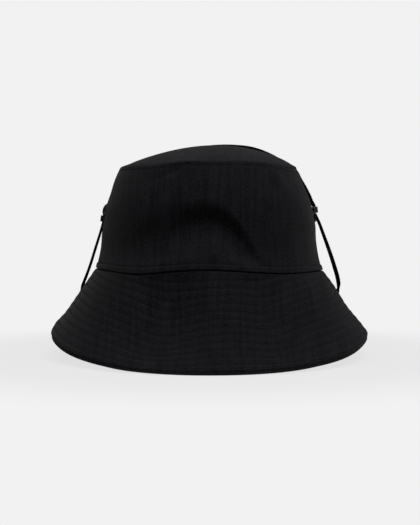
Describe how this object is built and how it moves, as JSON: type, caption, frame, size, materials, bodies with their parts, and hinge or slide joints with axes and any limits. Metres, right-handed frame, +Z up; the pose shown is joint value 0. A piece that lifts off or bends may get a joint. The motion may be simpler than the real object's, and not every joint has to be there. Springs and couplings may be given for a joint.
{
  "type": "bucket hat",
  "caption": "Soft bucket hat with a domed tip, a stitched bell-shaped brim and a chin cord that runs through side guides over the crown to a cord lock at the back.",
  "frame": {"origin": "on the resting surface, under the middle of the hat's box, measured without the cord", "axes": "+Z up, -Y towards the front of the hat, +X to the left of a wearer who faces -Y"},
  "size_m": [0.26, 0.3752, 0.1748],
  "materials": {
    "twill": "black cotton twill, matt, with a faint upright weave",
    "lining": "thin plain black cotton",
    "sweatband": "black twill folded tape",
    "interlining": "stiff grey woven interlining, hidden in the brim",
    "thread": "black polyester sewing thread",
    "cord": "deep black flat braided cord",
    "gunmetal": "polished black nickel plate",
    "lock_plastic": "black moulded acetal",
    "spring_steel": "bright spring wire",
    "label": "blank black satin tape"
  },
  "bodies": {
    "hat": {"tip_panel": "twill", "crown_front_panel": "twill", "crown_back_panel": "twill", "tip_lining": "lining", "crown_front_lining": "lining", "crown_back_lining": "lining", "sweatband": "sweatband", "base_seam_tape": "lining", "brim_top_layer": "twill", "brim_interlining": "interlining", "brim_under_layer": "twill", "care_label": "label", "brim_stitching": "thread", "base_seam_stitching": "thread", "tip_seam_stitching": "thread", "guide_left": "gunmetal", "guide_right": "gunmetal", "guide_rivets_left": "gunmetal", "guide_rivets_right": "gunmetal", "guide_backing_left": "gunmetal", "guide_backing_right": "gunmetal", "crown_cord": "cord", "chin_cord_left": "cord", "chin_cord_right": "cord", "cord_end_knots": "cord"},
    "lock": {"lock_barrel": "lock_plastic", "lock_spring": "spring_steel"},
    "button": {"lock_plunger": "lock_plastic"}
  },
  "joints": [
    {"name": "lock_slide", "type": "slide", "parent": "hat", "child": "lock", "axis": [0, 1, 0], "range_m": [0, 0.024]},
    {"name": "button_press", "type": "slide", "parent": "lock", "child": "button", "axis": [-1, 0, 0], "range_m": [0, 0.004], "stiffness_N_per_m": 600, "springref_m": -0.003}
  ]
}
